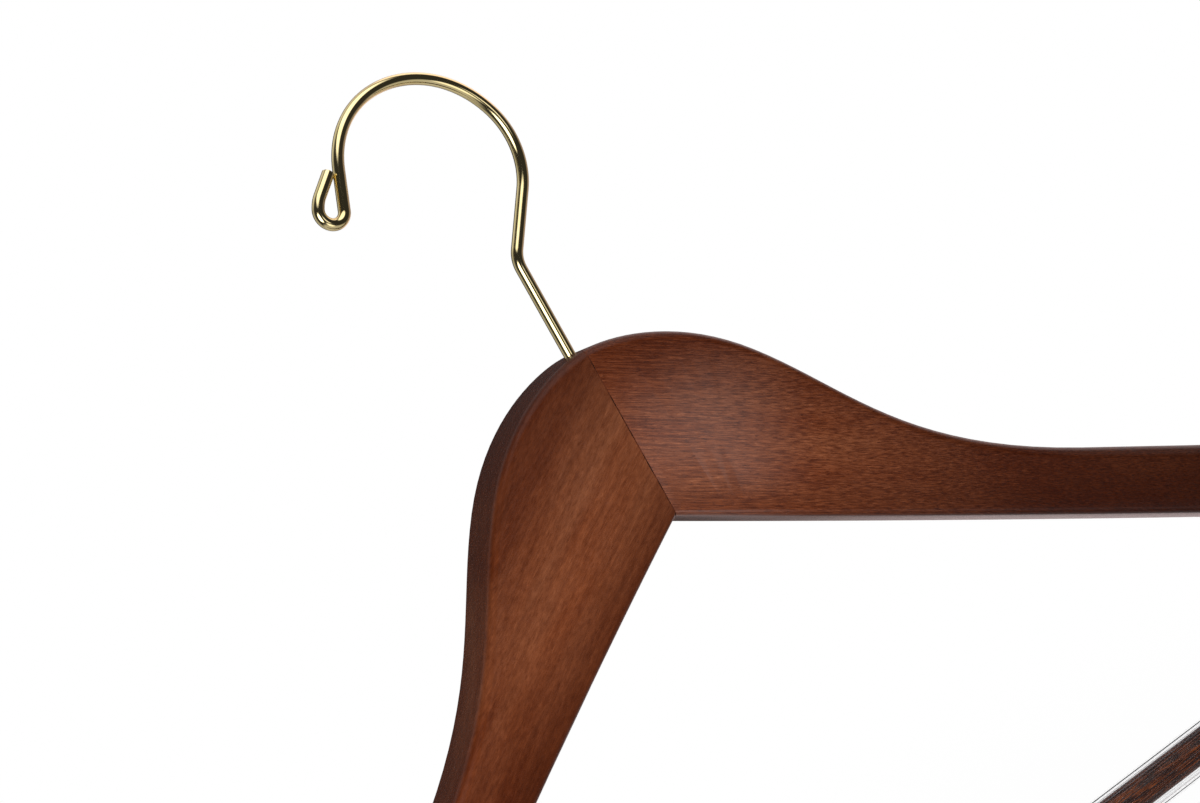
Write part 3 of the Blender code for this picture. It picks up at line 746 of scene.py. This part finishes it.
# Places in the room, each as its azimuth from -Y towards +X, its elevation, and the angles from there at
# which it is full and gone, all in degrees. A glow has its strength too. The back fill lights matt
# surfaces, and the other places show in gloss alone.
ROOM_GLOWS = (
    (-36.0, -3.0, 13.0, 25.0, 4.5),
    (22.0, 55.0, 22.0, 35.0, 2.2),
    (2.0, -38.0, 8.0, 20.0, 1.8),
    (20.0, -6.0, 4.0, 11.0, 1.6),
    (116.0, 33.0, 18.0, 34.0, 2.0),
    (143.0, -25.0, 12.0, 21.0, 1.4),
    (0.0, -90.0, 40.0, 60.0, 0.7),
)
FRONT_DARK = (-8.0, 0.0, 78.0, 108.0)
OVERHEAD = (180.0, 60.1, 20.5, 50.2)
BACK_DARKS = ((-175.0, 12.0, 26.0, 36.0), (169.0, -14.0, 8.0, 15.0))
BACK_FILL = (145.0, 5.0, 30.0, 72.0)
WARM_SIDE = (130.0, 0.0, 30.0, 80.0)
ROOM_DARK, ROOM_GREY, ROOM_WHITE = 0.04, 0.55, 0.9
BACK_DARK_SHARE = 0.1


def room_part(tree, way, place, inside, outside):
    """Value that goes from inside to outside between the two angles from a place in the room."""
    azimuth, elevation, near, far = (math.radians(angle) for angle in place)
    level = math.cos(elevation)
    direction = (math.sin(azimuth) * level, -math.cos(azimuth) * level, math.sin(elevation))
    facing = add(tree, "ShaderNodeVectorMath", {0: way, 1: direction},
                 operation="DOT_PRODUCT").outputs["Value"]
    return add(tree, "ShaderNodeMapRange",
               {"Value": facing, "From Min": math.cos(far), "From Max": math.cos(near), "To Min": outside,
                "To Max": inside}, interpolation_type="SMOOTHSTEP").outputs["Result"]


def light_room(scene, stage):
    """White to the camera; gloss sees soft glows in a dark front, grey sides and a white back."""
    world = bpy.data.worlds.new("studio_room")
    scene.world = world
    world.use_nodes = True
    tree = world.node_tree
    rays = add(tree, "ShaderNodeLightPath").outputs
    way = add(tree, "ShaderNodeTexCoord").outputs["Generated"]
    room = room_part(tree, way, FRONT_DARK, ROOM_DARK, ROOM_GREY)
    overhead = room_part(tree, way, OVERHEAD, ROOM_WHITE - ROOM_GREY, 0.0)
    room = add(tree, "ShaderNodeMath", {0: room, 1: overhead}, operation="ADD").outputs[0]
    for place in BACK_DARKS:
        behind = room_part(tree, way, place, BACK_DARK_SHARE, 1.0)
        room = add(tree, "ShaderNodeMath", {0: room, 1: behind}, operation="MULTIPLY").outputs[0]
    for *place, strength in ROOM_GLOWS:
        glow = room_part(tree, way, place, strength, 0.0)
        room = add(tree, "ShaderNodeMath", {0: room, 1: glow}, operation="MAXIMUM").outputs[0]
    matt = room_part(tree, way, BACK_FILL, stage.back_light, stage.ambient)
    cast = add(tree, "ShaderNodeMix", {0: rays["Is Glossy Ray"], 2: matt, 3: room},
               data_type="FLOAT").outputs[0]
    seen = add(tree, "ShaderNodeMath", {0: rays["Is Camera Ray"], 1: rays["Is Transmission Ray"]},
               operation="MAXIMUM").outputs[0]
    strength = add(tree, "ShaderNodeMix", {0: seen, 2: cast, 3: 1.0}, data_type="FLOAT").outputs[0]
    warm = room_part(tree, way, WARM_SIDE, 1.0, 0.0)
    share = add(tree, "ShaderNodeMath", {0: warm, 1: rays["Is Glossy Ray"]},
                operation="MULTIPLY").outputs[0]
    colour = add(tree, "ShaderNodeMix",
                 {MIX_SHARE: share, MIX_FIRST: (1.0, 1.0, 1.0, 1.0), MIX_SECOND: linear("#F4DEDD")},
                 data_type="RGBA").outputs[MIX_RESULT]
    background = tree.nodes["Background"]
    tree.links.new(colour, background.inputs["Color"])
    tree.links.new(strength, background.inputs["Strength"])


def place_camera(scene):
    """Camera where the photo was taken from."""
    lens = bpy.data.cameras.new("photo_camera")
    lens.lens = CAMERA_LENS
    lens.sensor_width = CAMERA_SENSOR
    lens.clip_start = 0.01
    camera = bpy.data.objects.new("photo_camera", lens)
    turn = Matrix((CAMERA_RIGHT, CAMERA_UP, CAMERA_BACK)).transposed()
    camera.matrix_world = Matrix.Translation(CAMERA_PLACE) @ turn.to_4x4()
    scene.collection.objects.link(camera)
    scene.camera = camera


class SuitHangerPanel(bpy.types.Panel):
    """Lists the pieces and their settings"""
    bl_idname = "VIEW3D_PT_suit_hanger"
    bl_label = "Suit hanger"
    bl_space_type = "VIEW_3D"
    bl_region_type = "UI"
    bl_category = "Suit hanger"

    def draw(self, context):
        for group, _ in SETTINGS:
            settings = getattr(context.scene, group)
            for name in settings.__annotations__:
                self.layout.prop(settings, name)
        for operator in OPERATORS:
            self.layout.operator(operator.bl_idname)


SETTINGS = (
    ("suit_hanger_wood", SuitHangerWood),
    ("suit_hanger_wire", SuitHangerWire),
    ("suit_hanger_bar", SuitHangerBar),
    ("suit_hanger_stage", SuitHangerStage),
)
OPERATORS = (DressArms, DressGlueLine, DressDowels, DressHook, DressSteel, DressBar, DressSleeve, SetStage)


def register():
    """Adds the settings, the operators and the panel."""
    for name, group in SETTINGS:
        bpy.utils.register_class(group)
        setattr(bpy.types.Scene, name, bpy.props.PointerProperty(type=group))
    for operator in OPERATORS:
        bpy.utils.register_class(operator)
    bpy.utils.register_class(SuitHangerPanel)


def unregister():
    """Takes the panel, the operators and the settings away again."""
    bpy.utils.unregister_class(SuitHangerPanel)
    for operator in reversed(OPERATORS):
        bpy.utils.unregister_class(operator)
    for name, group in reversed(SETTINGS):
        delattr(bpy.types.Scene, name)
        bpy.utils.unregister_class(group)


def main():
    """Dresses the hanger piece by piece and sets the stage."""
    register()
    bpy.ops.suit_hanger.arms()
    bpy.ops.suit_hanger.glue_line()
    bpy.ops.suit_hanger.dowels()
    bpy.ops.suit_hanger.hook()
    bpy.ops.suit_hanger.steel()
    bpy.ops.suit_hanger.bar()
    bpy.ops.suit_hanger.sleeve()
    bpy.ops.suit_hanger.stage()


if __name__ == "__main__":
    main()
